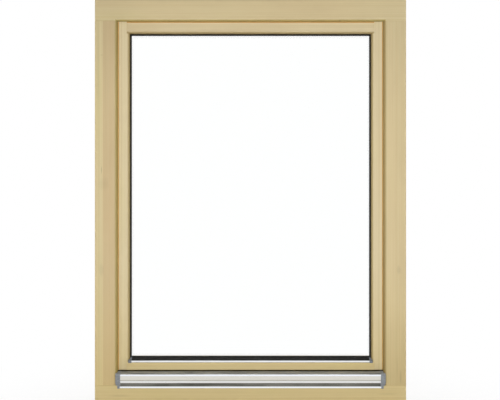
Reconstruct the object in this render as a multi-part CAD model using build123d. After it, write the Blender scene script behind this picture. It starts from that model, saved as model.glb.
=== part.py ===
from build123d import *
import os

# Single wooden window: outer frame, one inward-opening sash, insulating glass, aluminium rain bar.
# Seen from outside, X points right, Y into the room and Z up.
# The origin is the middle of the frame's underside, halfway through the frame's thickness.
# Insets are measured inwards from the frame's outer edge, alike on both sides and at the head.

# Outer frame
frame_width = 1000.0
frame_height = 1300.0
frame_depth = 68.0
lip_inset = 72.0
lip_depth = 17.0
lip_round = 9.5
air_step_inset = 56.0
air_step_depth = 38.0
rebate_inset = 48.0
arris_round = 2.5

# Bottom rail of the outer frame
sill_front_height = 57.0
sill_room_height = 72.0

# Slot-and-tenon corners
frame_tenon_thickness = 12.0
frame_tenon_setback = 5.0
frame_inner_tenon_setback = 8.0
sash_tenon_thickness = 14.0
sash_tenon_setback = 2.0
joint_groove_width = 1.2
joint_groove_depth = 0.8

# Sash
sash_depth = 68.0
sash_front_clearance = 3.0
sash_side_air = 4.0
sash_overlap = 6.0
sash_overlap_clearance = 2.0
sash_hardware_air = 12.0
sash_bottom_step_rise = 18.2
sash_bottom_step_depth = 21.0
sash_drip_round = 4.0
drip_groove_width = 4.0
drip_groove_depth = 4.0
drip_groove_setback = 6.0

# Glazing rebate in the sash
sight_inset = 109.0
sight_round = 9.0
glazing_lip_depth = 14.0
glass_rebate_inset = 91.0
sash_rail_body_height = 22.3
glazing_lip_rise = 3.2

# Insulating glass
pane_thickness = 4.0
pane_cavity = 16.0
block_thickness = 5.0
block_length = 100.0
block_end_distance = 150.0
seal_thickness = 3.0
sealant_width = 5.0
spacer_width = 6.5
outer_seal_show = 5.6
inner_seal_inset = 109.0
outer_seal_slope = 2.0

# Glazing beads
bead_width = 17.0
bead_depth = 23.0
bead_flat_depth = 9.0
bead_round = 9.0
bead_fit = 0.2

# Rebate seal between sash and frame
rebate_seal_width = 5.0

# Rain bar on the bottom rail
bar_wall = 1.8
bar_nose_reach = 13.0
bar_recess_height = 9.2
bar_step_rise = 9.4
bar_step_depth = 1.2
bar_top_fall = 5.4
bar_top_clearance = 2.3
bar_back_clearance = 3.2
bar_flange_clearance = 8.7
bar_front_gap = 0.5
bar_drip_drop = 8.0
bar_drip_flare = 2.2
bar_nose_round = 3.2
bar_bend_round = 1.2

# End caps of the rain bar
cap_wall = 1.2
cap_ear = 4.4
cap_fit = 0.3
cap_cover = 15.4
cap_end_wall = 4.0
cap_round = 1.5
cap_foot_overhang = 3.5
cap_foot_width = 7.8

# Seal between sash and rain bar
bar_seal_height = 12.0
bar_seal_top_clearance = 3.0

# Drip rail under the glass
rail_wall = 1.6
rail_nose_reach = 6.0
rail_nose_height = 5.9
rail_nose_round = 2.0
rail_slope_rise = 6.4
rail_back_setback = 3.0
gasket_front_setback = 3.4
gasket_cover = 3.2
gasket_leg = 8.0
seal_above_gasket = 2.8

# End caps of the drip rail
rail_cap_cover = 5.0
rail_cap_ear = 3.4
rail_cap_wall = 0.8
rail_cap_plate = 2.0
rail_cap_round = 0.8

# Window handle on the room side
handle_height = 640.0
handle_inset = 75.0
rose_width = 28.0
rose_length = 66.0
rose_thickness = 10.0
rose_round = 3.0
neck_diameter = 18.0
neck_length = 14.0
grip_stand_off = 42.0
grip_width = 20.0
grip_thickness = 13.0
grip_length = 118.0
grip_lean = 4.0
grip_round = 4.5
grip_bend_round = 12.0

# Hinges on the room side
knuckle_diameter = 15.0
knuckle_gap = 1.5
knuckle_length = 34.0
knuckle_play = 0.3
hinge_pin_diameter = 8.0
hinge_pin_head = 3.0
hinge_pin_fit = 0.05
hinge_plate_thickness = 3.5
hinge_plate_round = 2.0
frame_plate_width = 26.0
sash_strap_length = 46.0
sash_strap_height = 24.0
knuckle_back = 5.0
lower_hinge_rise = 14.0
upper_hinge_drop = 36.0

# Planes through the thickness, from outside to the room
frame_front = -frame_depth / 2
frame_back = frame_depth / 2
lip_back = frame_front + lip_depth
air_step_back = frame_front + air_step_depth
sash_front = lip_back + sash_front_clearance
sash_back = sash_front + sash_depth
overlap_front = frame_back + sash_overlap_clearance
sash_bottom_step = sash_front + sash_bottom_step_depth
glazing_lip_back = sash_front + glazing_lip_depth
outer_pane_front = glazing_lip_back + seal_thickness
outer_pane_back = outer_pane_front + pane_thickness
inner_pane_front = outer_pane_back + pane_cavity
inner_pane_back = inner_pane_front + pane_thickness
bead_front = inner_pane_back + seal_thickness
bead_back = bead_front + bead_depth

# Insets and heights that follow from the ones above
half_width = frame_width / 2
sash_inset = air_step_inset + sash_side_air
overlap_inset = rebate_inset - sash_overlap
overlap_bottom_height = sill_room_height - sash_overlap
hardware_bottom_height = sill_room_height + sash_hardware_air
sash_bottom_front_height = hardware_bottom_height + sash_bottom_step_rise
glass_rebate_bottom_height = sash_bottom_front_height + sash_rail_body_height
glazing_lip_bottom_height = glass_rebate_bottom_height + glazing_lip_rise
shoulder_inset = sight_inset - sight_round
glass_inset = glass_rebate_inset + block_thickness
glass_bottom_height = glass_rebate_bottom_height + block_thickness
outer_seal_inset = sight_inset + outer_seal_show
rail_base_height = glazing_lip_bottom_height
rail_nose_front = sash_front - rail_nose_reach
rail_nose_top = rail_base_height + rail_nose_height
rail_back = glazing_lip_back - rail_back_setback
rail_back_height = rail_nose_top + rail_slope_rise
gasket_back_height = rail_back_height + gasket_cover
seal_bottom_height = gasket_back_height + seal_above_gasket
bar_front = frame_front - bar_front_gap - bar_wall
bar_nose_bottom_height = sill_front_height + bar_recess_height
bar_step_height = bar_nose_bottom_height + bar_step_rise
bar_top_back_height = sash_bottom_front_height - bar_top_clearance
bar_nose_top_height = bar_top_back_height - bar_top_fall
bar_flange_height = sash_bottom_front_height - bar_flange_clearance
bar_nose_front = frame_front - bar_nose_reach
bar_top_back = sash_front - bar_back_clearance
margin = 50.0


def block(x_low, x_high, y_low, y_high, z_low, z_high):
    """A straight-edged block between six planes."""
    size_x = x_high - x_low
    size_y = y_high - y_low
    size_z = z_high - z_low
    middle = Pos((x_low + x_high) / 2, (y_low + y_high) / 2, (z_low + z_high) / 2)
    return middle * Box(size_x, size_y, size_z)


def panel(inset, bottom, y_low, y_high):
    """A block set in by one inset from both sides and the head, down to a given height."""
    reach = half_width - inset
    return block(-reach, reach, y_low, y_high, bottom, frame_height - inset)


def band(inset_low, inset_high, side, y_low, y_high, z_low, z_high):
    """A block between two insets on the left (side -1) or on the right (side 1)."""
    outer = side * (half_width - inset_low)
    inner = side * (half_width - inset_high)
    return block(min(outer, inner), max(outer, inner), y_low, y_high, z_low, z_high)


def ring(outer_inset, inner_inset, outer_bottom, inner_bottom, y_low, y_high):
    """A rectangular ring between two insets and two heights."""
    hole = panel(inner_inset, inner_bottom, y_low - margin, y_high + margin)
    return panel(outer_inset, outer_bottom, y_low, y_high) - hole


def lengthways(section, x_low, x_high):
    """A section drawn as (y, z) and drawn out along X."""
    return Pos(x_low, 0, 0) * extrude(Plane.YZ * section, x_high - x_low)


def outline(points):
    """A closed flat face through points."""
    return make_face(Polyline(*points, close=True))


def strip(points, bends, thickness):
    """A folded strip of one thickness along a bent line, with half-round ends."""
    line = Wire(FilletPolyline(*points, radius=bends).edges())
    return make_face(line.offset_2d(thickness / 2, kind=Kind.ARC, side=Side.BOTH, closed=True))


def edges_where(shape, test):
    """The edges whose middle passes a test."""
    return [edge for edge in shape.edges() if test(edge.center())]


def close_to(value, target):
    """True where two places are the same."""
    return abs(value - target) < 0.01


def joint_groove(x_low, x_high, z_low, z_high, face, outward):
    """A shallow V groove on a face, along the line that the two ranges leave."""
    half = joint_groove_width / 2
    deep = face - outward * joint_groove_depth
    proud = face + outward * joint_groove_depth
    if close_to(z_low, z_high):
        wedge = outline([(proud, z_low - 2 * half), (proud, z_low + 2 * half), (deep, z_low)])
        return lengthways(wedge, x_low, x_high)
    wedge = Plane.XY * outline([(x_low - 2 * half, proud), (x_low + 2 * half, proud), (x_low, deep)])
    return Pos(0, 0, z_low) * extrude(wedge, z_high - z_low)


def joined(pieces):
    """All pieces of a list added together."""
    total = pieces[0]
    for piece in pieces[1:]:
        total = total + piece
    return total


def save(name, shape):
    """Writes one named piece."""
    shape.label = name
    export_step(shape, "parts/" + name + ".step")
    print(name, round(shape.volume / 1000, 1), "cm3")


# Outer frame
def frame_envelope():
    """The frame's outer block with its perimeter edges eased."""
    body = block(-half_width, half_width, frame_front, frame_back, 0, frame_height)
    faces = (frame_front, frame_back)
    return fillet(edges_where(body, lambda c: any(close_to(c.Y, face) for face in faces)), arris_round)


def frame_surround():
    """Head and both stiles in one, stepped inside, with the outside arris rounded and mitred."""
    low = -margin
    body = frame_envelope()
    body = body - panel(lip_inset, low, frame_front - margin, lip_back)
    body = body - panel(air_step_inset, low, lip_back, air_step_back)
    body = body - panel(rebate_inset, low, air_step_back, frame_back + margin)
    reach = half_width - lip_inset
    top = frame_height - lip_inset

    def on_lip(centre):
        on_side = close_to(abs(centre.X), reach) and centre.Z < top
        on_head = close_to(centre.Z, top) and abs(centre.X) < reach
        return close_to(centre.Y, frame_front) and (on_side or on_head)

    return fillet(edges_where(body, on_lip), lip_round)


def frame_tenons():
    """The stiles' tenons, which run through the head and the bottom rail."""
    first = lip_back + frame_tenon_setback
    second = air_step_back + frame_inner_tenon_setback
    tenons = []
    for side in (-1, 1):
        for start, inset in ((first, air_step_inset), (second, rebate_inset)):
            end = start + frame_tenon_thickness
            tenons.append(band(0, inset, side, start, end, 0, frame_height))
    return joined(tenons)


def frame_rail_section():
    """Bottom rail, low in front for the rain bar and higher towards the room."""
    return outline([
        (frame_front, 0),
        (frame_back, 0),
        (frame_back, sill_room_height),
        (air_step_back, sill_room_height),
        (air_step_back, sill_front_height),
        (frame_front, sill_front_height),
    ])


def frame_grooves():
    """Grooves along the corner joints, on the outside and the room side."""
    grooves = []
    for side in (-1, 1):
        outer = side * (half_width + 1)
        lines = (
            (lip_inset, frame_height - lip_inset, frame_front, -1),
            (lip_inset, sill_front_height, frame_front, -1),
            (rebate_inset, frame_height - rebate_inset, frame_back, 1),
            (rebate_inset, sill_room_height, frame_back, 1),
        )
        for inset, height, face, outward in lines:
            inner = side * (half_width - inset - 1)
            x_low = min(outer, inner)
            x_high = max(outer, inner)
            grooves.append(joint_groove(x_low, x_high, height, height, face, outward))
    return joined(grooves)


def make_frame():
    """Head, two stiles and bottom rail of the outer frame."""
    surround = frame_surround()
    tenons = frame_tenons()
    grooves = frame_grooves()
    steps = (
        (frame_front, lip_back, lip_inset),
        (lip_back, air_step_back, air_step_inset),
        (air_step_back, frame_back, rebate_inset),
    )
    zone = joined([
        block(-half_width, half_width, low, high, frame_height - inset, frame_height)
        for low, high, inset in steps
    ])
    head = (surround & zone) - tenons
    rail = (lengthways(frame_rail_section(), -half_width, half_width) & frame_envelope()) - tenons
    save("frame_head", head - grooves)
    save("frame_bottom_rail", rail - grooves)
    for side, name in ((-1, "left"), (1, "right")):
        whole = surround & band(0, lip_inset, side, frame_front, frame_back, 0, frame_height)
        save("frame_" + name + "_stile", whole - head - rail - grooves)


# Sash
def sash_envelope():
    """The sash's outer block, stepped for the room-side overlap and at the bottom."""
    front = panel(sash_inset, sash_bottom_front_height, sash_front, sash_bottom_step)
    lower = edges_where(
        front,
        lambda c: close_to(c.Y, sash_front) and close_to(c.Z, sash_bottom_front_height),
    )
    front = fillet(lower, sash_drip_round)
    middle = panel(sash_inset, hardware_bottom_height, sash_bottom_step, overlap_front)
    overlap = panel(overlap_inset, overlap_bottom_height, overlap_front, sash_back)
    overlap = fillet(edges_where(overlap, lambda c: close_to(c.Y, sash_back)), arris_round)
    return front + middle + overlap


def sash_surround():
    """Top rail and both stiles in one, with the glazing lip rounded and mitred outside."""
    low = -margin
    body = sash_envelope() - panel(sight_inset, low, sash_front - margin, glazing_lip_back)
    body = body - panel(glass_rebate_inset, low, glazing_lip_back, sash_back + margin)
    reach = half_width - sight_inset
    top = frame_height - sight_inset

    def on_sight(centre):
        on_side = close_to(abs(centre.X), reach) and centre.Z < top
        on_head = close_to(centre.Z, top) and abs(centre.X) < reach
        return close_to(centre.Y, sash_front) and (on_side or on_head)

    return fillet(edges_where(body, on_sight), sight_round)


def sash_rail_reach():
    """How far the rails run between the stiles, with their tenons."""
    front_reach = half_width - shoulder_inset
    back_reach = half_width - glass_rebate_inset
    tenon_reach = half_width - sash_inset
    first = glazing_lip_back + sash_tenon_setback
    last = overlap_front - sash_tenon_thickness
    zone = block(-front_reach, front_reach, sash_front, glazing_lip_back, 0, frame_height)
    zone = zone + block(-back_reach, back_reach, glazing_lip_back, sash_back, 0, frame_height)
    for start in (first, last):
        end = start + sash_tenon_thickness
        zone = zone + block(-tenon_reach, tenon_reach, start, end, 0, frame_height)
    return zone


def sash_rail_section():
    """Bottom rail of the sash with a drip groove under its outside part."""
    groove_front = sash_front + drip_groove_setback
    groove_back = groove_front + drip_groove_width
    groove_top = sash_bottom_front_height + drip_groove_depth
    return outline([
        (sash_front, sash_bottom_front_height),
        (groove_front, sash_bottom_front_height),
        (groove_front, groove_top),
        (groove_back, groove_top),
        (groove_back, sash_bottom_front_height),
        (sash_bottom_step, sash_bottom_front_height),
        (sash_bottom_step, hardware_bottom_height),
        (overlap_front, hardware_bottom_height),
        (overlap_front, overlap_bottom_height),
        (sash_back, overlap_bottom_height),
        (sash_back, glass_rebate_bottom_height),
        (glazing_lip_back, glass_rebate_bottom_height),
        (glazing_lip_back, glazing_lip_bottom_height),
        (sash_front, glazing_lip_bottom_height),
    ])


def sash_grooves():
    """Grooves along the upright corner joints of the sash, outside and room side."""
    front_line = half_width - shoulder_inset
    back_line = half_width - glass_rebate_inset
    head = frame_height
    grooves = []
    for side in (-1, 1):
        lines = (
            (front_line, head - sight_inset, head, sash_front, -1),
            (front_line, 0, glazing_lip_bottom_height, sash_front, -1),
            (back_line, head - glass_rebate_inset, head, sash_back, 1),
            (back_line, 0, glass_rebate_bottom_height, sash_back, 1),
        )
        for place, z_low, z_high, face, outward in lines:
            grooves.append(joint_groove(side * place, side * place, z_low, z_high, face, outward))
    return joined(grooves)


def make_sash():
    """Two rails and two stiles of the sash."""
    surround = sash_surround()
    reach = sash_rail_reach()
    grooves = sash_grooves()
    width = half_width
    head = frame_height
    top_zone = block(-width, width, sash_front, glazing_lip_back, head - sight_inset, head)
    deep_zone = block(-width, width, glazing_lip_back, sash_back, head - glass_rebate_inset, head)
    top = surround & (top_zone + deep_zone) & reach
    rail = lengthways(sash_rail_section(), -width, width) & sash_envelope() & reach
    save("sash_top_rail", top - grooves)
    save("sash_bottom_rail", rail - grooves)
    for side, name in ((-1, "left"), (1, "right")):
        whole = surround & band(0, sight_inset, side, sash_front, sash_back, 0, frame_height)
        save("sash_" + name + "_stile", whole - top - rail - grooves)


# Glass, its seals and the glazing beads
def make_glass():
    """Two panes with their spacer, edge sealant and setting blocks."""
    save("outer_pane", panel(glass_inset, glass_bottom_height, outer_pane_front, outer_pane_back))
    save("inner_pane", panel(glass_inset, glass_bottom_height, inner_pane_front, inner_pane_back))
    spacer_inset = glass_inset + sealant_width
    spacer_bottom = glass_bottom_height + sealant_width
    sealant = ring(
        glass_inset,
        spacer_inset,
        glass_bottom_height,
        spacer_bottom,
        outer_pane_back,
        inner_pane_front,
    )
    spacer = ring(
        spacer_inset,
        spacer_inset + spacer_width,
        spacer_bottom,
        spacer_bottom + spacer_width,
        outer_pane_back,
        inner_pane_front,
    )
    save("edge_sealant", sealant)
    save("spacer_bar", spacer)
    save("setting_blocks", joined(setting_blocks()))


def setting_blocks():
    """Blocks between the glass edges and the rebate, two on each side."""
    front = outer_pane_front
    back = inner_pane_back
    reach = half_width - glass_rebate_inset - block_end_distance
    low = glass_rebate_bottom_height
    top = frame_height - glass_inset
    high = frame_height - glass_rebate_inset
    blocks = []
    for side in (-1, 1):
        x_low = min(side * reach, side * (reach - block_length))
        x_high = x_low + block_length
        blocks.append(block(x_low, x_high, front, back, low, low + block_thickness))
        blocks.append(block(x_low, x_high, front, back, top, top + block_thickness))
        for z_low in (low + block_end_distance, high - block_end_distance - block_length):
            z_high = z_low + block_length
            blocks.append(band(glass_rebate_inset, glass_inset, side, front, back, z_low, z_high))
    return blocks


def make_glazing_seals():
    """Black seals on both sides of the glass and between sash and frame."""
    outer = ring(
        glass_inset,
        outer_seal_inset,
        glass_bottom_height,
        seal_bottom_height,
        glazing_lip_back,
        outer_pane_front,
    )
    reach = half_width - outer_seal_inset
    top = frame_height - outer_seal_inset

    def on_front(centre):
        on_side = close_to(abs(centre.X), reach)
        on_level = close_to(centre.Z, top) or close_to(centre.Z, seal_bottom_height)
        return close_to(centre.Y, glazing_lip_back) and (on_side or on_level) and abs(centre.X) < reach + 1

    save("outer_glazing_seal", chamfer(edges_where(outer, on_front), outer_seal_slope))
    inner_bottom = glass_bottom_height + inner_seal_inset - glass_inset
    inner = ring(
        glass_inset,
        inner_seal_inset,
        glass_bottom_height,
        inner_bottom,
        inner_pane_back,
        bead_front,
    )
    save("inner_glazing_seal", inner)
    rebate = ring(
        rebate_inset - rebate_seal_width,
        rebate_inset,
        sill_room_height - rebate_seal_width,
        sill_room_height,
        frame_back,
        overlap_front,
    )
    save("sash_seal", rebate)


def bead_section():
    """Glazing bead as (distance from the rebate, y), with its room-side arris rounded."""
    face = outline([
        (0, bead_front),
        (bead_width, bead_front),
        (bead_width, bead_front + bead_flat_depth),
        (bead_width - bead_round, bead_back),
        (0, bead_back),
    ])
    corners = [
        vertex
        for vertex in face.vertices()
        if vertex.X > bead_width - bead_round - 0.01 and vertex.Y > bead_front + 0.01
    ]
    return fillet(corners, bead_round / 3)


def glazing_bead(start, end, base, towards, upright):
    """One bead from start to end on its rebate base, growing towards the glass, with mitred ends."""
    reach = 2 * bead_width
    if upright:
        plane = Plane(origin=(base, 0, 0), x_dir=(towards, 0, 0), z_dir=(0, 0, towards))
        run = Vector(0, 0, 1)
        corners = [(base, start), (base, end)]
        corners += [(base + towards * reach, end - reach), (base + towards * reach, start + reach)]
    else:
        plane = Plane(origin=(0, 0, base), x_dir=(0, 0, towards), z_dir=(-towards, 0, 0))
        run = Vector(1, 0, 0)
        corners = [(start, base), (end, base)]
        corners += [(end - reach, base + towards * reach), (start + reach, base + towards * reach)]
    body = Pos(run * start) * extrude(plane * bead_section(), end - start, dir=run)
    mitre = extrude(Plane.XZ * outline(corners), bead_back + margin, dir=(0, 1, 0))
    return body & mitre


def make_beads():
    """Four glazing beads with mitred corners."""
    reach = half_width - glass_rebate_inset - bead_fit
    low = glass_rebate_bottom_height + bead_fit
    high = frame_height - glass_rebate_inset - bead_fit
    save("glazing_bead_bottom", glazing_bead(-reach, reach, low, 1, False))
    save("glazing_bead_top", glazing_bead(-reach, reach, high, -1, False))
    save("glazing_bead_left", glazing_bead(low, high, -reach, 1, True))
    save("glazing_bead_right", glazing_bead(low, high, reach, -1, True))


# Rain bar, its end caps and its seal
def gutter_section():
    """Rain bar: back flange, gutter floor, front wall, bulging nose with a step, sloping top."""
    half = bar_wall / 2
    floor = sill_front_height + half
    nose = bar_nose_front + half
    nose_under = bar_nose_bottom_height + half
    return strip(
        [
            (air_step_back - half, bar_flange_height - half),
            (air_step_back - half, floor),
            (bar_front + half, floor),
            (bar_front + half, nose_under),
            (nose + 2 * bar_step_depth, nose_under),
            (nose, bar_step_height - 2 * bar_step_depth),
            (nose + bar_step_depth, bar_step_height),
            (nose, bar_step_height + 2 * bar_step_depth),
            (nose, bar_nose_top_height - half),
            (bar_top_back - half, bar_top_back_height - half),
        ],
        [bar_bend_round] * 4 + [bar_bend_round / 2] * 3 + [bar_nose_round],
        bar_wall,
    )


def drip_lip_section():
    """Lip of the rain bar that hangs in front of the bottom rail and flares outwards."""
    half = bar_wall / 2
    return strip(
        [
            (bar_front + half, sill_front_height + half + bar_wall),
            (bar_front + half, sill_front_height - half),
            (bar_front + half - bar_drip_flare, sill_front_height - bar_drip_drop + half),
        ],
        [bar_bend_round],
        bar_wall,
    )


def bar_envelope():
    """Straight-edged outline round the rain bar, without its drip lip and back flange."""
    return outline([
        (bar_front, sill_front_height),
        (bar_front, bar_nose_bottom_height),
        (bar_nose_front, bar_nose_bottom_height),
        (bar_nose_front, bar_nose_top_height - bar_nose_round),
        (bar_nose_front + bar_nose_round, bar_nose_top_height),
        (bar_top_back, bar_top_back_height),
        (bar_top_back, sill_front_height),
    ])


def cap_foot(side, bar_end):
    """Foot of a cap: a block beside the end of the drip lip, with a flap in front of the lip."""
    low = sill_front_height - bar_drip_drop - cap_wall
    back = frame_front - cap_fit
    whole = outline([
        (bar_front - cap_wall, sill_front_height + cap_round),
        (bar_front - cap_wall, sill_front_height),
        (bar_front - bar_drip_flare - cap_wall, low),
        (back, low),
        (back, sill_front_height + cap_round),
    ])
    lip_space = outline([
        (bar_front, sill_front_height),
        (bar_front - bar_drip_flare, low),
        (bar_front - bar_drip_flare, low - margin),
        (frame_front, low - margin),
        (frame_front, sill_front_height),
    ])
    outer = half_width - (bar_end + cap_foot_overhang)
    reach = band(outer, outer + cap_foot_width, side, -frame_depth, back, 0, frame_height)
    return (lengthways(whole, -half_width, half_width) & reach) - lengthways(lip_space, -bar_end, bar_end)


def rain_bar_cap(side, bar, bar_end):
    """Plastic cap over one end of the rain bar, with an ear in front of the stile and a foot on the lip."""
    seat_inset = lip_inset + cap_fit
    outer_inset = lip_inset - cap_ear
    inner_inset = outer_inset + cap_cover
    whole = offset(bar_envelope(), cap_wall, kind=Kind.INTERSECTION)
    body = lengthways(whole, -half_width, half_width)
    body = body & band(
        outer_inset, inner_inset, side, -frame_depth, bar_top_back, sill_front_height, frame_height
    )
    end_x = side * (half_width - outer_inset)
    lowest = sill_front_height + cap_round

    def on_ear(centre):
        return close_to(centre.X, end_x) and centre.Y < bar_front and centre.Z > lowest

    body = fillet(edges_where(body, on_ear), cap_round)
    body = body - band(0, seat_inset, side, frame_front - cap_fit, frame_back, 0, frame_height)
    body = body - lengthways(bar_envelope(), -bar_end, bar_end)
    end_plate = band(
        seat_inset,
        half_width - bar_end,
        side,
        bar_top_back,
        air_step_back,
        sill_front_height,
        bar_flange_height,
    )
    return body + end_plate + cap_foot(side, bar_end) - bar


def make_rain_bar():
    """Extruded rain bar between the stiles, with one cap over each end."""
    bar_end = half_width - lip_inset - cap_fit - cap_end_wall
    bar = lengthways(gutter_section() + drip_lip_section(), -bar_end, bar_end)
    save("rain_bar", bar)
    save("rain_bar_cap_left", rain_bar_cap(-1, bar, bar_end))
    save("rain_bar_cap_right", rain_bar_cap(1, bar, bar_end))


def make_bar_seal():
    """Seal under the sash that bears on the rain bar's back flange."""
    top = sash_bottom_front_height - bar_seal_top_clearance
    low = max(hardware_bottom_height, top - bar_seal_height)
    reach = half_width - sash_inset
    save("rain_bar_seal", block(-reach, reach, air_step_back, sash_bottom_step, low, top))


# Drip rail under the glass
def rail_section():
    """Drip rail: foot on the glazing lip, rounded nose, slope back up towards the glass."""
    half = rail_wall / 2
    front = rail_nose_front + half
    return strip(
        [
            (glazing_lip_back - rail_wall, rail_base_height + half),
            (front, rail_base_height + half),
            (front, rail_nose_top - half),
            (rail_back, rail_back_height - half),
        ],
        [rail_nose_round, rail_nose_round],
        rail_wall,
    )


def gasket_section():
    """Black wedge on the drip rail's slope, with a leg behind it against the glazing seal."""
    front = rail_nose_front + gasket_front_setback
    leg_front = rail_back + rail_wall / 2 + cap_fit
    return outline([
        (front, rail_nose_top + rail_wall),
        (glazing_lip_back, gasket_back_height),
        (glazing_lip_back, gasket_back_height - gasket_leg),
        (leg_front, gasket_back_height - gasket_leg),
        (leg_front, rail_back_height - rail_wall / 2),
        (rail_back, rail_back_height - rail_wall / 2),
        (front, rail_nose_top),
    ])


def rail_envelope():
    """Straight-edged outline round the drip rail and its gasket."""
    return outline([
        (rail_nose_front, rail_base_height),
        (rail_nose_front, rail_nose_top),
        (rail_nose_front + gasket_front_setback, rail_nose_top + rail_wall),
        (glazing_lip_back, gasket_back_height),
        (glazing_lip_back, rail_base_height),
    ])


def drip_rail_cap(side, rail_end):
    """Small plastic cap over one end of the drip rail, with an ear in front of the sash stile."""
    outer_inset = sight_inset - rail_cap_ear
    inner_inset = half_width - rail_end + rail_cap_cover
    whole = offset(rail_envelope(), rail_cap_wall, kind=Kind.INTERSECTION)
    body = lengthways(whole, -half_width, half_width)
    body = body & band(outer_inset, inner_inset, side, -frame_depth, glazing_lip_back, 0, frame_height)
    end_x = side * (half_width - outer_inset)

    def on_ear(centre):
        return close_to(centre.X, end_x) and centre.Z > rail_base_height

    body = fillet(edges_where(body, on_ear), rail_cap_round)
    wood_front = sash_front - cap_fit
    stile = band(0, sight_inset + cap_fit, side, wood_front, glazing_lip_back, 0, frame_height)
    lip = block(-half_width, half_width, wood_front, glazing_lip_back, 0, rail_base_height)
    return body - stile - lip - lengthways(rail_envelope(), -rail_end, rail_end)


def make_drip_rail():
    """Drip rail with its gasket and two end caps."""
    rail_end = half_width - sight_inset - rail_cap_plate
    rail = lengthways(rail_section(), -rail_end, rail_end)
    gasket = lengthways(gasket_section(), -rail_end, rail_end)
    save("drip_rail", rail)
    save("drip_rail_gasket", gasket - rail)
    save("drip_rail_cap_left", drip_rail_cap(-1, rail_end))
    save("drip_rail_cap_right", drip_rail_cap(1, rail_end))


# Handle on the room side of the right stile
def make_handle():
    """Rose and lever of the window handle, lever down as on a closed sash."""
    place = half_width - handle_inset
    room_plane = Plane(origin=(place, sash_back, handle_height), x_dir=(1, 0, 0), z_dir=(0, 1, 0))
    rose_shape = RectangleRounded(rose_width, rose_length, rose_width / 2 - 1)
    rose = extrude(room_plane * rose_shape, rose_thickness)
    rose_face = sash_back + rose_thickness
    rose = fillet(edges_where(rose, lambda c: close_to(c.Y, rose_face)), rose_round)
    save("handle_rose", rose)
    neck_plane = Plane(origin=(place, rose_face, handle_height), x_dir=(1, 0, 0), z_dir=(0, 1, 0))
    neck = extrude(neck_plane * Circle(neck_diameter / 2), neck_length)
    grip_back = sash_back + grip_stand_off
    side_view = strip(
        [
            (rose_face + grip_thickness / 2 + 1, handle_height),
            (grip_back, handle_height),
            (grip_back + grip_lean, handle_height - grip_length),
        ],
        [grip_bend_round],
        grip_thickness,
    )
    grip = lengthways(side_view, place - grip_width / 2, place + grip_width / 2)
    sides = (place - grip_width / 2, place + grip_width / 2)
    grip = fillet(edges_where(grip, lambda c: any(close_to(c.X, face) for face in sides)), grip_round)
    save("handle_lever", neck + grip)


# Hinges on the room side of the left stile
def hinge_knuckle(place, centre_y, z_low):
    """Bored barrel of one hinge half."""
    middle = Pos(place, centre_y, z_low + knuckle_length / 2)
    barrel = middle * Cylinder(knuckle_diameter / 2, knuckle_length)
    bore = middle * Cylinder(hinge_pin_diameter / 2 + hinge_pin_fit, knuckle_length)
    return barrel, bore


def make_hinge(name, z_low):
    """Frame half, sash half and pin of one hinge."""
    centre_inset = overlap_inset - knuckle_gap - knuckle_diameter / 2
    place = centre_inset - half_width
    centre_y = sash_back - knuckle_back
    z_middle = z_low + knuckle_length
    z_upper = z_middle + knuckle_play
    z_high = z_upper + knuckle_length
    barrel, bore = hinge_knuckle(place, centre_y, z_low)
    plate = band(
        centre_inset - frame_plate_width,
        centre_inset,
        -1,
        frame_back,
        frame_back + hinge_plate_thickness,
        z_low,
        z_middle,
    )
    plate = fillet(plate.edges().filter_by(Axis.Y), hinge_plate_round)
    web = block(
        place - knuckle_diameter / 2 + hinge_plate_round,
        place + knuckle_diameter / 2 - hinge_plate_round,
        frame_back,
        centre_y,
        z_low + hinge_plate_round,
        z_middle - hinge_plate_round,
    )
    save(name + "_hinge_frame_half", barrel + plate + web - bore)
    barrel, bore = hinge_knuckle(place, centre_y, z_upper)
    strap_low = (z_upper + z_high - sash_strap_height) / 2
    strap = block(
        place,
        overlap_inset - half_width + sash_strap_length,
        sash_back,
        sash_back + hinge_plate_thickness,
        strap_low,
        strap_low + sash_strap_height,
    )
    strap = fillet(strap.edges().filter_by(Axis.Y), hinge_plate_round)
    save(name + "_hinge_sash_half", barrel + strap - bore)
    pin_length = z_high - z_low
    pin = Pos(place, centre_y, z_low + pin_length / 2) * Cylinder(hinge_pin_diameter / 2, pin_length)
    head = Pos(place, centre_y, z_high + hinge_pin_head / 2) * Cylinder(knuckle_diameter / 2, hinge_pin_head)
    head = fillet(head.edges().sort_by(Axis.Z)[-1], hinge_pin_head / 2)
    save(name + "_hinge_pin", pin + head)


def make_hinges():
    """Lower and upper hinge."""
    make_hinge("lower", overlap_bottom_height + lower_hinge_rise)
    top = frame_height - overlap_inset - upper_hinge_drop
    make_hinge("upper", top - 2 * knuckle_length - knuckle_play)


os.makedirs("parts", exist_ok=True)
make_frame()
make_sash()
make_glass()
make_glazing_seals()
make_beads()
make_rain_bar()
make_bar_seal()
make_drip_rail()
make_handle()
make_hinges()
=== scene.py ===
import math
import bmesh
import bpy
from mathutils import Matrix, Vector


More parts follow.
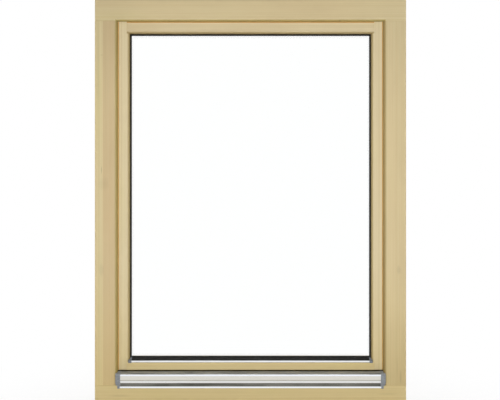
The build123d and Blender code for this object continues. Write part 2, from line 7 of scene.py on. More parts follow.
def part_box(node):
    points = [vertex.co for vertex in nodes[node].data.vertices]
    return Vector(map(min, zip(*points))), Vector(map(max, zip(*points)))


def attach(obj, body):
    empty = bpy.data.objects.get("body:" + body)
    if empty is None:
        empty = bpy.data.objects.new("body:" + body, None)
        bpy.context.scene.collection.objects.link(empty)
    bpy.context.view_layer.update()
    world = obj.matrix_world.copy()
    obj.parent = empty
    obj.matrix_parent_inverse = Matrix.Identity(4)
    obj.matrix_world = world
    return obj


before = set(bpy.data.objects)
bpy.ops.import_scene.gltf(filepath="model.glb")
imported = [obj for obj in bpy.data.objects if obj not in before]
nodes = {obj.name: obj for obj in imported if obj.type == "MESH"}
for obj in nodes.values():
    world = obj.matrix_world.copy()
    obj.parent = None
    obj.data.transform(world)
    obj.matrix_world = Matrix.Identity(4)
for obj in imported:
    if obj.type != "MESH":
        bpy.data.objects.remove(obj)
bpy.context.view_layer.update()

# Wooden window seen from outside. X points right, Y into the room, Z up, everything in metres.
mm = 0.001
frameLow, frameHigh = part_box("frame_head")
halfWidth = frameHigh.x
frameTop = frameHigh.z
frameFront = frameLow.y
frameBack = frameHigh.y
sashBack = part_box("sash_left_stile")[1].y
print("frame loaded with", len(nodes), "nodes")


def rgb(red, green, blue):
    # screen colour from 0 to 255, as the linear colour that shaders want
    def linear(value):
        value = value / 255
        return value / 12.92 if value <= 0.04045 else ((value + 0.055) / 1.055) ** 2.4
    return (linear(red), linear(green), linear(blue), 1.0)


# Shader helpers

class Value:
    # a number on a node's socket: maths with it adds Math nodes

    def __init__(self, paint, socket):
        self.paint = paint
        self.socket = socket

    def __add__(self, other):
        return self.paint.maths("ADD", self, other)

    def __sub__(self, other):
        return self.paint.maths("SUBTRACT", self, other)

    def __rsub__(self, other):
        return self.paint.maths("SUBTRACT", other, self)

    def __mul__(self, other):
        return self.paint.maths("MULTIPLY", self, other)

    def __truediv__(self, other):
        return self.paint.maths("DIVIDE", self, other)

    def __pow__(self, other):
        return self.paint.maths("POWER", self, other)

    __radd__ = __add__
    __rmul__ = __mul__


class Paint:
    # one node tree, with short ways to add nodes to it

    def __init__(self, owner):
        owner.use_nodes = True
        self.owner = owner
        self.tree = owner.node_tree
        self.tree.nodes.clear()

    def add(self, kind, settings, sockets, out=0):
        # any node: its type, its settings and the values or links of its sockets
        node = self.tree.nodes.new(kind)
        for key, value in settings.items():
            setattr(node, key, value)
        for key, value in sockets.items():
            if isinstance(value, Value):
                self.tree.links.new(value.socket, node.inputs[key])
            else:
                node.inputs[key].default_value = value
        return Value(self, node.outputs[out]) if node.outputs else None

    def maths(self, operation, first, second=0.0, clamp=False):
        settings = {"operation": operation, "use_clamp": clamp}
        return self.add("ShaderNodeMath", settings, {0: first, 1: second})

    def split(self, vector):
        parts = self.add("ShaderNodeSeparateXYZ", {}, {0: vector})
        return [Value(self, socket) for socket in parts.socket.node.outputs]

    def vector(self, x, y, z):
        return self.add("ShaderNodeCombineXYZ", {}, {0: x, 1: y, 2: z})

    def place(self):
        # the object's own coordinates, split into X, Y and Z
        return self.split(self.add("ShaderNodeTexCoord", {}, {}, "Object"))

    def facing(self):
        # the surface's direction, split into X, Y and Z
        return self.split(self.add("ShaderNodeTexCoord", {}, {}, "Normal"))

    def noise(self, x, y, z, detail=2.0, roughness=0.5):
        spot = self.vector(x, y, z)
        sockets = {"Vector": spot, "Scale": 1.0, "Detail": detail, "Roughness": roughness}
        return self.add("ShaderNodeTexNoise", {}, sockets)

    def evenNoise(self, x, y, z, waves, detail):
        # noise of the same waves per metre in all directions, from -0.5 to 0.5
        return self.noise(x * waves, y * waves, z * waves, detail) - 0.5

    def chance(self, number):
        return self.add("ShaderNodeTexWhiteNoise", {"noise_dimensions": "1D"}, {"W": number})

    def smooth(self, value, low, high):
        # 0 below low, 1 above high, with an eased slope between
        sockets = {0: value, 1: low, 2: high, 3: 0.0, 4: 1.0}
        return self.add("ShaderNodeMapRange", {"interpolation_type": "SMOOTHSTEP"}, sockets)

    def mix(self, factor, first, second, blend="MIX"):
        settings = {"data_type": "RGBA", "blend_type": blend}
        return self.add("ShaderNodeMix", settings, {0: factor, 6: first, 7: second}, 2)

    def scaled(self, colour, level):
        return self.mix(1.0, colour, self.vector(level, level, level), "MULTIPLY")

    def bump(self, height, distance, strength=1.0):
        sockets = {"Height": height, "Distance": distance, "Strength": strength}
        return self.add("ShaderNodeBump", {}, sockets)

    def surface(self, sockets):
        shader = self.add("ShaderNodeBsdfPrincipled", {}, sockets)
        self.add("ShaderNodeOutputMaterial", {}, {"Surface": shader})
        return self.owner


def newPaint(name):
    return Paint(bpy.data.materials.new(name))


def dress(name, material):
    # every slot of a node gets the material
    if not nodes[name].data.materials:
        nodes[name].data.materials.append(material)
    for slot in nodes[name].material_slots:
        slot.material = material


# Wood

softwood = {
    "early": rgb(218, 202, 159),
    "late": rgb(190, 163, 110),
    "rose": rgb(199, 175, 134),
    "green": rgb(205, 193, 138),
    "ringWidth": 2.4 * mm,
    "wander": 7.0 * mm,
    "uneven": 9.0 * mm,
    "ripple": 0.8 * mm,
    "lateShare": 0.6,
    "lateRise": (0.25, 0.88),
    "lateFall": (0.9, 1.0),
    "fibre": 0.10,
    "strand": 0.10,
    "fleck": 0.10,
    "cloud": 1.1,
    "stripTone": 0.05,
    "warmTone": 0.08,
    "cutTone": 0.2,
    "tone": 1.0,
    "rosy": 0.0,
    "roughness": 0.42,
    "relief": 0.08 * mm,
    "layers": (-11.3 * mm, 11.3 * mm),
    "seam": None,
    "seamBlur": (-4 * mm, 3 * mm),
    "outerStrip": 0.0,
    "innerStrip": 0.0,
    "heart": (0.14, 0.06),
    # painted shade colour for the routed rounds
    "roundShade": rgb(190, 180, 150),
    # painted shade colour along the outer edge
    "edgeShade": rgb(205, 168, 120),
    "edgeShadeWidth": 3.0 * mm,
    "edgeShadeShare": 0.6,
    # painted shadow colour for the gap beside the frame's lip
    "gapShadeTint": rgb(246, 196, 122),
    # painted highlight on the sash's edge
    "arris": None,
    "shadedRounds": (),
    "milledReach": None,
    "lowerTint": rgb(247, 243, 227),
    "lowerTintFrom": (0.02, 0.5),
    "gapShadeLine": None,
    "marks": (),
}

# waves per metre across the grain and along it
grainWaves = {
    "wander": (6.0, 1.1),
    "uneven": (55.0, 0.7),
    "ripple": (45.0, 4.0),
    "fibre": (900.0, 14.0),
    "strand": (190.0, 1.6),
    "fleck": (1500.0, 60.0),
    "cloud": (9.0, 2.3),
    "warm": (14.0, 3.1),
}


def woodMaterial(name, upright, look):
    # rings round a heart beside the board, drawn out along the member, in glued strips
    look = {**softwood, **look}
    paint = newPaint(name)
    x, y, z = paint.place()
    along, across = (z, x) if upright else (x, z)
    seed = look["seed"]
    outerEdge, inwards = look["edge"]
    inset = inwards * (across - outerEdge)

    def streaks(kind, slide=(0.0, 0.0, 0.0), detail=2.0, roughness=0.5):
        # noise drawn out along the member, from -0.5 to 0.5
        fine, long = grainWaves[kind]
        spot = (across * fine + slide[0], y * fine + slide[1], along * long + slide[2])
        return paint.noise(*spot, detail, roughness) - 0.5

    # glued strips: one seam across the face of a wide member, others through its thickness
    strip = 0.0 * y  # the strip's number, the same all over it
    rosyStrip = look["rosy"]
    if look["seam"] is not None:
        pastSeam = inset - look["seam"]
        strip = strip + paint.maths("GREATER_THAN", pastSeam, 0.0)
        step = look["innerStrip"] - look["outerStrip"]
        inner = paint.smooth(pastSeam, *look["seamBlur"])
        rosyStrip = rosyStrip + look["outerStrip"] + step * inner
    for plane in look["layers"]:
        strip = strip + 2.0 * paint.maths("GREATER_THAN", y, plane)
    chance = paint.chance(strip + seed)
    shift = 7.0 * chance + seed

    heartAcross = outerEdge - inwards * look["heart"][0] * (0.6 + chance)
    heartDepth = look["heart"][1] * (1.0 - 2.0 * chance)
    wander = streaks("wander", (0.0, shift, shift))
    uneven = streaks("uneven", (0.0, shift, 0.0), 1.0)
    ripple = streaks("ripple", (0.0, 0.0, shift))
    distance = paint.maths("SQRT", (across - heartAcross) ** 2.0 + (y - heartDepth) ** 2.0)
    warp = wander * look["wander"] + uneven * look["uneven"] + ripple * look["ripple"]
    ring = (distance + warp) / look["ringWidth"]
    year = paint.maths("FLOOR", ring)
    phase = ring - year
    late = paint.smooth(phase, *look["lateRise"]) * (1.0 - paint.smooth(phase, *look["lateFall"]))
    grain = late * (0.1 + 0.9 * paint.chance(year + seed))

    fibre = streaks("fibre", (0.0, 0.0, shift), 3.0, 0.6)
    strand = streaks("strand", (0.0, 0.0, shift), 2.0, 0.6)
    fleck = paint.smooth(streaks("fleck"), 0.16, 0.28)
    cloud = streaks("cloud", (shift, 0.0, shift), 3.0)
    warm = streaks("warm", (0.0, shift, 0.0))

    colour = paint.mix(grain * look["lateShare"], look["early"], look["late"])
    rosy = rosyStrip + look["cloud"] * cloud + 0.8 * strand + 0.5 * (chance - 0.5)
    colour = paint.mix(paint.maths("ADD", rosy, 0.0, True), colour, look["rose"])
    greenish = 1.6 * warm - rosyStrip - 0.15
    colour = paint.mix(paint.maths("ADD", greenish, 0.0, True), colour, look["green"])
    level = look["tone"] + look["fibre"] * fibre + look["strand"] * strand - look["fleck"] * fleck
    level = level + look["stripTone"] * (chance - 0.5) + look["warmTone"] * warm

    # streaks, dents and blotches: distance from the outer edge, place along the member,
    # half width, half length and depth of tone
    for markInset, markAlong, markWidth, markLength, depth in look["marks"]:
        offAcross = (inset - markInset) / markWidth
        offAlong = (along - markAlong) / markLength
        reach = paint.maths("SQRT", offAcross ** 2.0 + offAlong ** 2.0)
        level = level - depth * (1.0 - paint.smooth(reach + 0.8 * strand, 0.2, 1.0))

    # painted highlight: the sash's edge is drawn lighter than its face
    if look["arris"]:
        middle, width, gain = look["arris"]
        off = paint.maths("ABSOLUTE", inset - middle) / width
        onFront = 1.0 - paint.smooth(y, 0.0, 0.01)
        level = level + gain * (1.0 - paint.smooth(off, 0.2, 1.0)) * onFront

    # painted shade: the routed rounds, which turn away from the light, are drawn darker and more
    # olive
    for start, end in look["shadedRounds"]:
        shadedRounds = paint.smooth(inset, start, end)
        if look["milledReach"] is not None:
            fromMiddle = paint.maths("ABSOLUTE", along)
            shadedRounds = shadedRounds * paint.maths("LESS_THAN", fromMiddle, look["milledReach"])
        colour = paint.mix(shadedRounds, colour, look["roundShade"], "MULTIPLY")
    # painted shadow, with orange light bounced in the gap, on the sash's front beside the frame's
    # lip
    if look["gapShadeLine"]:
        outside = 1.0 - paint.smooth(y, -0.01, 0.0)
        inGapShade = (1.0 - paint.smooth(inset, *look["gapShadeLine"])) * outside
        colour = paint.mix(inGapShade, colour, look["gapShadeTint"], "MULTIPLY")
    normal = paint.facing()
    # painted shade along the outer edge's rounding, weaker on faces that turn sideways
    flank = paint.smooth(paint.maths("ABSOLUTE", normal[0] if upright else normal[2]), 0.6, 0.9)
    edge = (1.0 - paint.smooth(inset, 0.0, look["edgeShadeWidth"])) * (1.0 - 0.8 * flank)
    colour = paint.mix(look["edgeShadeShare"] * edge, colour, look["edgeShade"], "MULTIPLY")

    # the lower part is drawn in a deeper yellow, more so towards the bottom
    lowerTint = 1.0 - paint.smooth(z, *look["lowerTintFrom"])
    colour = paint.mix(lowerTint, colour, look["lowerTint"], "MULTIPLY")

    # end grain drinks more varnish and is darker
    cut = paint.smooth(paint.maths("ABSOLUTE", normal[2] if upright else normal[0]), 0.7, 0.95)
    level = level - look["cutTone"] * cut

    return paint.surface({
        "Base Color": paint.scaled(colour, level),
        "Roughness": look["roughness"] + 0.07 * grain + 0.12 * fibre,
        "Normal": paint.bump(0.5 * fibre + 0.12 * grain - 0.8 * fleck, look["relief"], 0.6),
        "IOR": 1.4,
    })


leftEdge = (-halfWidth, 1.0)
rightEdge = (halfWidth, -1.0)
topEdge = (frameTop, -1.0)
bottomEdge = (0.0, 1.0)
# insets of the routed rounds, which get painted shade
lipRound = (61 * mm, 70 * mm)
headRound = (65 * mm, 71 * mm)
sashRound = (100 * mm, 108 * mm)
sashLayers = (9 * mm, 32 * mm)
# insets of the painted gap shadow on the sash's front
sashGapShade = (73 * mm, 75.5 * mm)
# painted highlights on the sash's edges: distance from the outer edge, half width and gain
sashArrisHighlight = (78.5 * mm, 3 * mm, 0.08)
railArrisHighlight = (104 * mm, 3.5 * mm, 0.10)
paleWood = rgb(223, 208, 170)

woodPieces = {
    "frame_head": (False, {
        "seed": 3.0, "edge": topEdge, "tone": 0.94, "rosy": 0.05, "shadedRounds": (headRound,),
        # painted shade colour for the head's round
        "roundShade": rgb(206, 202, 160), "milledReach": halfWidth - 66 * mm,
        "marks": (
            (2 * mm, -0.08, 11 * mm, 0.62, 0.17),
            (71.2 * mm, 0.287, 2.5 * mm, 7 * mm, 0.25),
            (40 * mm, -0.47, 90 * mm, 0.16, 0.06),
        ),
    }),
    "frame_bottom_rail": (False, {
        "seed": 11.0, "edge": bottomEdge, "tone": 1.0, "rosy": -0.1,
        "marks": ((24 * mm, -0.42, 6 * mm, 0.05, 0.10), (30 * mm, 0.44, 5 * mm, 0.04, 0.08)),
    }),
    "frame_left_stile": (True, {
        "seed": 5.0, "edge": leftEdge, "seam": 26 * mm, "outerStrip": -0.3, "innerStrip": 0.5,
        # painted shade in the lip's round, in this colour
        "shadedRounds": (lipRound,), "roundShade": rgb(198, 197, 154),
        "marks": (
            (21.3 * mm, 0.749, 1.6 * mm, 16 * mm, 0.3),
            (22 * mm, 1.118, 8 * mm, 1.6 * mm, 0.2),
            (30 * mm, 0.705, 22 * mm, 30 * mm, 0.07),
            (22 * mm, 0.428, 12 * mm, 26 * mm, 0.09),
            (35 * mm, 1.26, 150 * mm, 0.36, 0.10),
        ),
    }),
    "frame_right_stile": (True, {
        "seed": 8.0, "edge": rightEdge, "rosy": 0.12, "shadedRounds": (lipRound,),
        "marks": (
            (23 * mm, 0.428, 11 * mm, 18 * mm, 0.10),
            (18 * mm, 0.084, 4 * mm, 34 * mm, 0.16),
            (29 * mm, 0.115, 3 * mm, 40 * mm, 0.07),
            (35 * mm, 1.27, 150 * mm, 0.32, 0.07),
            (35 * mm, 0.06, 150 * mm, 0.30, 0.10),
        ),
    }),
    "sash_top_rail": (False, {
        "seed": 17.0, "edge": topEdge, "rosy": 0.05, "tone": 0.97, "early": paleWood,
        # deeper painted gap shadow on the top rail
        "gapShadeTint": rgb(234, 182, 100),
    }),
    "sash_bottom_rail": (False, {"seed": 19.0, "edge": bottomEdge, "rosy": -0.05, "tone": 1.10}),
    "sash_left_stile": (True, {
        "seed": 23.0, "edge": leftEdge, "rosy": -0.1, "tone": 1.02, "early": paleWood,
    }),
    "sash_right_stile": (True, {
        "seed": 29.0, "edge": rightEdge, "rosy": 0.0, "tone": 1.02, "early": paleWood,
        # deeper painted gap shadow on the right stile
        "gapShadeTint": rgb(230, 180, 102),
    }),
    "glazing_bead_top": (False, {"seed": 31.0, "edge": topEdge}),
    "glazing_bead_bottom": (False, {"seed": 37.0, "edge": bottomEdge}),
    "glazing_bead_left": (True, {"seed": 41.0, "edge": leftEdge}),
    "glazing_bead_right": (True, {"seed": 43.0, "edge": rightEdge}),
}


def dressWood():
    for name, (upright, look) in woodPieces.items():
        if name.startswith("sash"):
            look = {"layers": sashLayers, **look}
            if "bottom" in name:
                look = {"arris": railArrisHighlight, **look}
            else:
                look = {"shadedRounds": (sashRound,), "arris": sashArrisHighlight, "gapShadeLine": sashGapShade, **look}
        if name.startswith("glazing"):
            look = {"layers": (), **look}
        dress(name, woodMaterial(name + "Wood", upright, look))
    print("wood dressed:", len(woodPieces), "pieces")


# Metal, plastic, rubber and glass

aluminium = {
    "bar": rgb(220, 217, 208),
    "rail": rgb(241, 243, 246),
    "roughness": 0.28,
    "lines": 2600.0,
    "lineDepth": 0.02 * mm,
    # dust on up-facing slopes, drawn dark as painted shade too
    "dust": rgb(108, 112, 114),
}

# on the rain bar, heights over its underside: painted highlight bands along its rounded edges,
# with how strong each is, painted shade under the nose, and painted shadow at the groove in its
# face
barPaintedLight = {
    "highlight": rgb(240, 244, 250),
    "highlightBands": ((0.0, 4.5 * mm, 1.0), (19.0 * mm, 24.0 * mm, 0.5), (41.0 * mm, 51.0 * mm, 1.0)),
    "highlightEdge": 1.0 * mm,
    # painted shade colour for the recess under the nose
    "recessShade": rgb(96, 97, 94),
    "recess": (6.0 * mm, 17.1 * mm),
    "recessEdge": 1.2 * mm,
    "recessDepth": (4.0 * mm, 5.5 * mm),
    # painted shadow colour for the groove
    "groove": rgb(214, 214, 210),
    "grooveHeight": 26.6 * mm,
    "grooveHalf": (0.8 * mm, 2.0 * mm),
}


def between(paint, value, low, high, edge):
    # 1 between low and high, fading out over edge on both sides
    return paint.smooth(value, low - edge, low) * (1.0 - paint.smooth(value, high, high + edge))


def aluminiumMaterial(name, base, barCorner=None):
    # anodised extrusion with fine drawing lines along X, and dust with painted shade on its
    # up-facing slopes; given the bar's lowest corner, it also gets the rain bar's painted
    # highlights and shadows
    paint = newPaint(name)
    x, y, z = paint.place()
    lines = paint.noise(x * 1.5, y * aluminium["lines"], z * aluminium["lines"], 2.0) - 0.5
    smear = paint.noise(x * 9.0, y * 60.0, z * 60.0, 3.0) - 0.5
    colour = paint.scaled(base, 1.0 + 0.05 * lines + 0.04 * smear)
    if barCorner:
        height = z - barCorner.z
        # painted highlights: lighter bands where the bar's rounded edges would catch the light
        for low, high, glintStrength in barPaintedLight["highlightBands"]:
            glint = between(paint, height, low, high, barPaintedLight["highlightEdge"])
            colour = paint.mix(glintStrength * glint, colour, barPaintedLight["highlight"])
    # up-facing slopes get dust and painted shade for the dark they reflect
    dustAndShade = paint.smooth(paint.facing()[2], 0.6, 0.9) * (0.8 + 0.8 * smear)
    colour = paint.mix(dustAndShade, colour, aluminium["dust"])
    if barCorner:
        # painted shade in the recess under the bar's nose
        recessShadow = between(paint, height, *barPaintedLight["recess"], barPaintedLight["recessEdge"])
        recessShadow = recessShadow * paint.smooth(y - barCorner.y, *barPaintedLight["recessDepth"]) * (0.9 + 0.5 * smear)
        colour = paint.mix(recessShadow, colour, barPaintedLight["recessShade"], "MULTIPLY")
        # painted shadow where the groove runs across the nose's face
        off = paint.maths("ABSOLUTE", height - barPaintedLight["grooveHeight"])
        grooveShadow = 1.0 - paint.smooth(off, *barPaintedLight["grooveHalf"])
        colour = paint.mix(grooveShadow, colour, barPaintedLight["groove"], "MULTIPLY")
    return paint.surface({
        "Base Color": colour,
        "Metallic": 1.0 - 0.6 * dustAndShade,
        "Roughness": aluminium["roughness"] + 0.08 * smear + 0.05 * lines + 0.2 * dustAndShade,
        "Normal": paint.bump(lines, aluminium["lineDepth"], 0.5),
    })


plastic = {
    "caps": rgb(133, 137, 141),
    "smallCaps": rgb(118, 122, 128),
    "blocks": rgb(40, 42, 48),
    "upperDark": rgb(56, 58, 60),
    "upperDarkFrom": (140.0 * mm, 143.0 * mm),
    "texture": 1800.0,
    "patch": 150.0,
    "relief": 0.06 * mm,
}


def plasticMaterial(name, colour, roughness, darkUpper=False):
    # moulded plastic with a fine spark-eroded texture, darker above a set height
    paint = newPaint(name)
    x, y, z = paint.place()
    texture = paint.evenNoise(x, y, z, plastic["texture"], 2.0)
    patch = paint.evenNoise(x, y, z, plastic["patch"], 3.0)
    if darkUpper:
        colour = paint.mix(paint.smooth(z, *plastic["upperDarkFrom"]), colour, plastic["upperDark"])
    return paint.surface({
        "Base Color": paint.scaled(colour, 1.0 + 0.35 * texture + 0.7 * patch),
        "Roughness": roughness + 0.2 * patch,
        "Normal": paint.bump(texture, plastic["relief"], 0.6),
    })


rubber = {
    "seals": rgb(27, 27, 25),
    "sealant": rgb(22, 22, 22),
    "bloom": (30.0, 200.0, 30.0),
    "marks": 700.0,
    "relief": 0.03 * mm,
}


def rubberMaterial(name, colour, roughness):
    # black seal with bloom along its length and faint extrusion marks
    paint = newPaint(name)
    x, y, z = paint.place()
    wide, deep, tall = rubber["bloom"]
    bloom = paint.noise(x * wide, y * deep, z * tall, 3.0)
    marks = paint.evenNoise(x, y, z, rubber["marks"], 2.0)
    return paint.surface({
        "Base Color": paint.scaled(colour, 0.8 + 0.4 * bloom),
        "Roughness": roughness + 0.15 * (bloom - 0.5),
        "Normal": paint.bump(marks, rubber["relief"], 0.4),
        "IOR": 1.35,
    })


spacer = {
    "metal": rgb(190, 192, 193),
    "hole": rgb(90, 92, 94),
    "along": 1800.0,
    "through": 1500.0,
}


def spacerMaterial():
    # folded aluminium spacer with rows of breather holes
    paint = newPaint("spacerAluminium")
    x, y, z = paint.place()
    waves = (x * spacer["along"], y * spacer["through"], z * spacer["along"])
    rows = [paint.maths("SINE", wave) for wave in waves]
    holes = rows[0] * rows[1] * rows[2]
    dots = paint.smooth(paint.maths("ABSOLUTE", holes), 0.45, 0.7)
    return paint.surface({
        "Base Color": paint.mix(dots, spacer["metal"], spacer["hole"]),
        "Metallic": 1.0,
        "Roughness": 0.42 + 0.2 * dots,
        "Normal": paint.bump(1.0 - dots, 0.1 * mm, 0.5),
    })


pane = {
    "tint": (0.997, 1.0, 0.999, 1.0),
    "shadow": (0.95, 0.965, 0.96, 1.0),
    "dust": 25.0,
    "haze": 0.012,
    "bending": 1.5,
}


def glassMaterial():
    # clear pane, with faint dust, that lets lamp light through
    paint = newPaint("paneGlass")
    x, y, z = paint.place()
    dust = paint.noise(x * pane["dust"], y * pane["dust"], z * pane["dust"], 4.0, 0.6)
    glass = paint.add("ShaderNodeBsdfPrincipled", {}, {
        "Base Color": pane["tint"],
        "Roughness": pane["haze"] * dust,
        "IOR": pane["bending"],
        "Transmission Weight": 1.0,
    })
    clear = paint.add("ShaderNodeBsdfTransparent", {}, {"Color": pane["shadow"]})
    path = paint.add("ShaderNodeLightPath", {}, {}, "Is Shadow Ray")
    shader = paint.add("ShaderNodeMixShader", {}, {0: path, 1: glass, 2: clear})
    paint.add("ShaderNodeOutputMaterial", {}, {"Surface": shader})
    return paint.owner


lacquer = {
    "colour": rgb(190, 191, 192),
    "peel": 700.0,
    "flake": 6000.0,
    "hands": 35.0,
    "relief": 0.03 * mm,
}


def silverMaterial():
    # lacquered handle and hinges, with fingermarks
    paint = newPaint("satinSilver")
    x, y, z = paint.place()
    peel = paint.evenNoise(x, y, z, lacquer["peel"], 1.0)
    flake = paint.evenNoise(x, y, z, lacquer["flake"], 1.0)
    hands = paint.evenNoise(x, y, z, lacquer["hands"], 4.0)
    return paint.surface({
        "Base Color": paint.scaled(lacquer["colour"], 1.0 + 0.12 * flake + 0.05 * hands),
        "Metallic": 0.7,
        "Roughness": 0.36 + 0.12 * hands,
        "Normal": paint.bump(peel, lacquer["relief"], 0.4),
    })


def dressRest(silver):
    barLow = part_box("rain_bar")[0]
    caps = plasticMaterial("greyCaps", plastic["caps"], 0.5)
    smallCaps = plasticMaterial("darkGreyCaps", plastic["smallCaps"], 0.5, True)
    blocks = plasticMaterial("blackBlocks", plastic["blocks"], 0.55)
    seals = rubberMaterial("blackSeal", rubber["seals"], 0.6)
    sealant = rubberMaterial("blackSealant", rubber["sealant"], 0.4)
    groups = (
        (aluminiumMaterial("rainBarAluminium", aluminium["bar"], barLow), ("rain_bar",)),
        (aluminiumMaterial("dripRailAluminium", aluminium["rail"]), ("drip_rail",)),
        (caps, ("rain_bar_cap_left", "rain_bar_cap_right")),
        (smallCaps, ("drip_rail_cap_left", "drip_rail_cap_right")),
        (blocks, ("setting_blocks",)),
        (seals, tuple(name for name in nodes if name.endswith("_seal")) + ("drip_rail_gasket",)),
        (sealant, ("edge_sealant",)),
        (spacerMaterial(), ("spacer_bar",)),
        (glassMaterial(), ("outer_pane", "inner_pane")),
        (silver, tuple(name for name in nodes if "hinge" in name or "handle" in name)),
    )
    for material, names in groups:
        for name in names:
            dress(name, material)
    print("metal, plastic, rubber and glass dressed")


# Screws and nails on the room side

def finish(name, bm, material):
    # a bmesh becomes a piece at its place, on the window's one body
    bmesh.ops.recalc_face_normals(bm, faces=bm.faces)
    mesh = bpy.data.meshes.new(name)
    bm.to_mesh(mesh)
    bm.free()
    mesh.materials.append(material)
    piece = bpy.data.objects.new(name, mesh)
    bpy.context.scene.collection.objects.link(piece)
    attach(piece, "root")


screw = {
    "segments": 24,
    "radius": 3.6 * mm,
    "sunk": 1.5 * mm,
    "rings": ((0.7 * mm, 0.5 * mm), (0.9 * mm, 0.15 * mm), (0.35 * mm, -0.5 * mm)),
    "plate": 3.5 * mm,
    "fromEdge": 8 * mm,
    "apart": 18 * mm,
    "turn": 0.3,
}


def addHead(bm, look, x, y, z, turn=0.0):
    # head of a screw or nail facing the room: a sunk disc, its top stepped in rings (width, rise)
    part = bmesh.new()
    radius = look["radius"]
    sunk = look["sunk"]
    bmesh.ops.create_cone(
        part, cap_ends=True, segments=look["segments"], radius1=radius, radius2=radius, depth=sunk
    )
    part.normal_update()
    top = [face for face in part.faces if face.normal.z > 0.9]
    for width, rise in look["rings"]:
        bmesh.ops.inset_region(part, faces=top, thickness=width, depth=rise)
    aim = Matrix.Translation((x, y - sunk / 2, z)) @ Matrix.Rotation(math.radians(-90), 4, "X")
    part.transform(aim @ Matrix.Rotation(turn, 4, "Z"))
    holder = bpy.data.meshes.new("headPart")
    part.to_mesh(holder)
    part.free()
    bm.from_mesh(holder)
    bpy.data.meshes.remove(holder)


def addScrews(silver):
    # two screws in each hinge leaf
    bm = bmesh.new()
    inwards = screw["fromEdge"]
    count = 0
    for hinge in ("lower", "upper"):
        low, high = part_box(hinge + "_hinge_frame_half")
        for z in (low.z + inwards, high.z - inwards):
            turn = screw["turn"] * count
            addHead(bm, screw, low.x + inwards, frameBack + screw["plate"], z, turn)
            count += 1
        low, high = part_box(hinge + "_hinge_sash_half")
        middle = (low.z + high.z) / 2
        for x in (high.x - inwards, high.x - inwards - screw["apart"]):
            turn = screw["turn"] * count
            addHead(bm, screw, x, sashBack + screw["plate"], middle, turn)
            count += 1
    finish("hinge_screws", bm, silver)
    print("screws set:", count)


brad = {
    "segments": 12,
    "radius": 1.1 * mm,
    "sunk": 1.0 * mm,
    "rings": ((0.25 * mm, 0.12 * mm), (0.3 * mm, 0.04 * mm)),
    "fromEdge": 4.0 * mm,
    "fromEnd": 60 * mm,
    "gap": 0.26,
}


def addBrads(silver):
    # nail heads along the flat of each glazing bead
    bm = bmesh.new()
    count = 0
    for side in ("left", "right", "top", "bottom"):
        low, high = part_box("glazing_bead_" + side)
        upright = side in ("left", "right")
        start, end = (low.z, high.z) if upright else (low.x, high.x)
        run = end - start - 2 * brad["fromEnd"]
        spaces = round(run / brad["gap"])
        for step in range(spaces + 1):
            along = start + brad["fromEnd"] + run * step / spaces
            edges = {
                "left": (low.x + brad["fromEdge"], along),
                "right": (high.x - brad["fromEdge"], along),
                "top": (along, high.z - brad["fromEdge"]),
                "bottom": (along, low.z + brad["fromEdge"]),
            }
            x, z = edges[side]
            addHead(bm, brad, x, high.y, z)
            count += 1
    finish("bead_brads", bm, silver)
    print("brads set:", count)


dressWood()
silver = silverMaterial()
dressRest(silver)
addScrews(silver)
addBrads(silver)


# Camera, light, floor and background

photo = {
    "focal": 67.28,
    "sensor": 36.0,
    "distance": 3.0,
    "sideways": -0.0016,
    "height": 0.6525,
}


def addCamera():
    camera = bpy.data.cameras.new("photoCamera")
    camera.lens = photo["focal"]
    camera.sensor_width = photo["sensor"]
    camera.sensor_fit = "HORIZONTAL"
    holder = bpy.data.objects.new("photoCamera", camera)
    holder.location = (photo["sideways"], frameFront - photo["distance"], photo["height"])
    holder.rotation_euler = (math.radians(90), 0, 0)
    bpy.context.scene.collection.objects.link(holder)
    bpy.context.scene.camera = holder
    print("camera placed")


lamps = {
    "frontLamp": {"at": (0.0, -2.6, 0.95), "aim": (0, 0, 0.68), "size": (1.5, 1.1), "power": 37.0},
    "backLamp": {"at": (0.0, 2.6, 1.1), "aim": (0, 0, 0.65), "size": (1.5, 1.1), "power": 37.0},
    "leftLamp": {"at": (-3.0, 0.0, 1.2), "aim": (0, 0, 0.65), "size": (0.8, 1.6), "power": 32.0},
    "rightLamp": {"at": (3.0, 0.0, 1.2), "aim": (0, 0, 0.65), "size": (0.8, 1.6), "power": 32.0},
    "topLamp": {"at": (0.0, 0.0, 3.6), "aim": (0, 0, 0), "size": (2.0, 1.0), "power": 32.0},
}


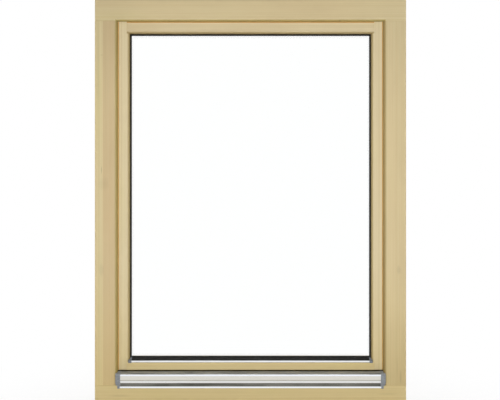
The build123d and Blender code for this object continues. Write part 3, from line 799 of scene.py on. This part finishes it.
def addLamps():
    for name, values in lamps.items():
        lamp = bpy.data.lights.new(name, "AREA")
        lamp.shape = "RECTANGLE"
        lamp.size, lamp.size_y = values["size"]
        lamp.energy = values["power"]
        holder = bpy.data.objects.new(name, lamp)
        holder.location = values["at"]
        aim = Vector(values["aim"]) - Vector(values["at"])
        holder.rotation_euler = aim.to_track_quat("-Z", "Y").to_euler()
        holder.visible_camera = False
        holder.visible_transmission = False
        holder.visible_glossy = name == "topLamp"
        bpy.context.scene.collection.objects.link(holder)
    print("lamps placed:", len(lamps))


def seen(paint):
    # 1 for the rays that show the background: from the camera, off metal and through glass
    total = None
    for name in ("Is Camera Ray", "Is Glossy Ray", "Is Transmission Ray"):
        ray = paint.add("ShaderNodeLightPath", {}, {}, name)
        total = ray if total is None else paint.maths("MAXIMUM", total, ray)
    return total


softLight = 0.18


def addWorld():
    world = bpy.data.worlds.new("whiteRoom")
    bpy.context.scene.world = world
    paint = Paint(world)
    soft = paint.add("ShaderNodeBackground", {}, {"Color": (1, 1, 1, 1), "Strength": softLight})
    white = paint.add("ShaderNodeBackground", {}, {"Color": (1, 1, 1, 1), "Strength": 1.0})
    shader = paint.add("ShaderNodeMixShader", {}, {0: seen(paint), 1: soft, 2: white})
    paint.add("ShaderNodeOutputWorld", {}, {"Surface": shader})
    print("world lit")


floorLook = {"size": 40.0, "nearGlow": 0.8, "fade": (0.4, 1.1)}


def addFloor():
    # white floor that keeps a soft shadow near the window
    mesh = bpy.data.meshes.new("floor")
    bm = bmesh.new()
    bmesh.ops.create_grid(bm, x_segments=1, y_segments=1, size=floorLook["size"])
    bm.to_mesh(mesh)
    bm.free()
    floor = bpy.data.objects.new("floor", mesh)
    bpy.context.scene.collection.objects.link(floor)
    paint = newPaint("floorWhite")
    x, y, z = paint.place()
    away = paint.maths("SQRT", x ** 2.0 + y ** 2.0)
    near = floorLook["nearGlow"]
    keep = near + (1.0 - near) * paint.smooth(away, *floorLook["fade"])
    matt = paint.add("ShaderNodeBsdfDiffuse", {}, {"Color": (0.95, 0.95, 0.95, 1)})
    glow = paint.add("ShaderNodeEmission", {}, {"Color": (1, 1, 1, 1), "Strength": 1.0})
    shader = paint.add("ShaderNodeMixShader", {}, {0: seen(paint) * keep, 1: matt, 2: glow})
    paint.add("ShaderNodeOutputMaterial", {}, {"Surface": shader})
    mesh.materials.append(paint.owner)
    print("floor laid")


addCamera()
addLamps()
addWorld()
addFloor()

view = bpy.context.scene.view_settings
view.view_transform = "Standard"
